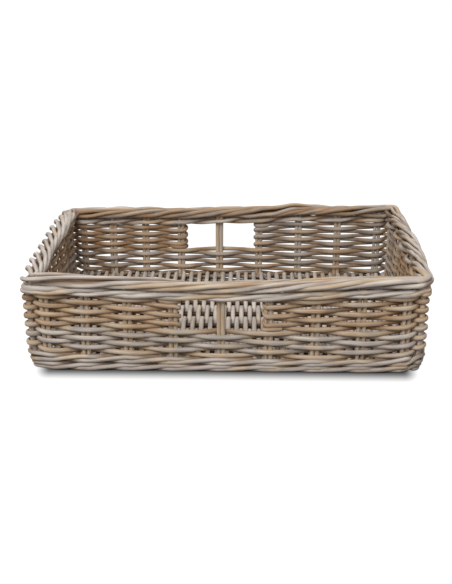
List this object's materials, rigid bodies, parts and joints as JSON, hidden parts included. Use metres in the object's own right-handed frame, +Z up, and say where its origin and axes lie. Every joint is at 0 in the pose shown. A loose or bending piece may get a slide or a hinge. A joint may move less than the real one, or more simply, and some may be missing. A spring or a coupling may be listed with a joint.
{
  "type": "under-bed storage basket",
  "caption": "Low rectangular under-bed storage basket woven from grey-washed round rattan cane, with a rolled rim and an open hand hole in each long wall.",
  "frame": {"origin": "middle of the footprint, on the floor", "axes": "+X along the long walls to the right as seen from the front, +Y from the front wall to the back wall, +Z up"},
  "size_m": [0.6049, 0.4001, 0.1497],
  "materials": {
    "stake_cane": "bare rattan cane with a thin grey wash",
    "weaver_cane": "grey-washed rattan cane, matt",
    "wale_cane": "grey-washed rattan cane, matt",
    "border_cane": "grey-washed rattan cane, satin",
    "base_cane": "grey-washed rattan cane, matt"
  },
  "bodies": {
    "root": {"front_stake_pair_1": "stake_cane", "front_stake_pair_2": "stake_cane", "front_stake_pair_3": "stake_cane", "front_stake_pair_4": "stake_cane", "front_stake_pair_5": "stake_cane", "front_stake_pair_6": "stake_cane", "front_stake_pair_7": "stake_cane", "front_stake_pair_8": "stake_cane", "front_stake_pair_9": "stake_cane", "right_stake_pair_1": "stake_cane", "right_stake_pair_2": "stake_cane", "right_stake_pair_3": "stake_cane", "right_stake_pair_4": "stake_cane", "right_stake_pair_5": "stake_cane", "right_stake_pair_6": "stake_cane", "back_stake_pair_1": "stake_cane", "back_stake_pair_2": "stake_cane", "back_stake_pair_3": "stake_cane", "back_stake_pair_4": "stake_cane", "back_stake_pair_5": "stake_cane", "back_stake_pair_6": "stake_cane", "back_stake_pair_7": "stake_cane", "back_stake_pair_8": "stake_cane", "back_stake_pair_9": "stake_cane", "left_stake_pair_1": "stake_cane", "left_stake_pair_2": "stake_cane", "left_stake_pair_3": "stake_cane", "left_stake_pair_4": "stake_cane", "left_stake_pair_5": "stake_cane", "left_stake_pair_6": "stake_cane", "front_right_corner_post": "stake_cane", "right_back_corner_post": "stake_cane", "back_left_corner_post": "stake_cane", "left_front_corner_post": "stake_cane", "weaver_row_1": "weaver_cane", "weaver_row_2": "weaver_cane", "weaver_row_3": "weaver_cane", "weaver_row_4": "weaver_cane", "weaver_row_5": "weaver_cane", "weaver_row_6": "weaver_cane", "right_return_weaver": "weaver_cane", "left_return_weaver": "weaver_cane", "foot_wale_outer_1": "wale_cane", "foot_wale_outer_2": "wale_cane", "foot_wale_inner": "wale_cane", "rim_wale_outer": "wale_cane", "rim_wale_inner": "wale_cane", "rolled_border_strand_1": "border_cane", "rolled_border_strand_2": "border_cane", "rolled_border_strand_3": "border_cane", "rolled_border_strand_4": "border_cane", "rolled_border_strand_5": "border_cane", "base_mat": "base_cane", "base_stick_pair_1": "stake_cane", "base_stick_pair_2": "stake_cane", "base_stick_pair_3": "stake_cane", "base_stick_pair_4": "stake_cane", "base_stick_pair_5": "stake_cane", "base_stick_pair_6": "stake_cane", "base_stick_pair_7": "stake_cane"}
  },
  "joints": []
}
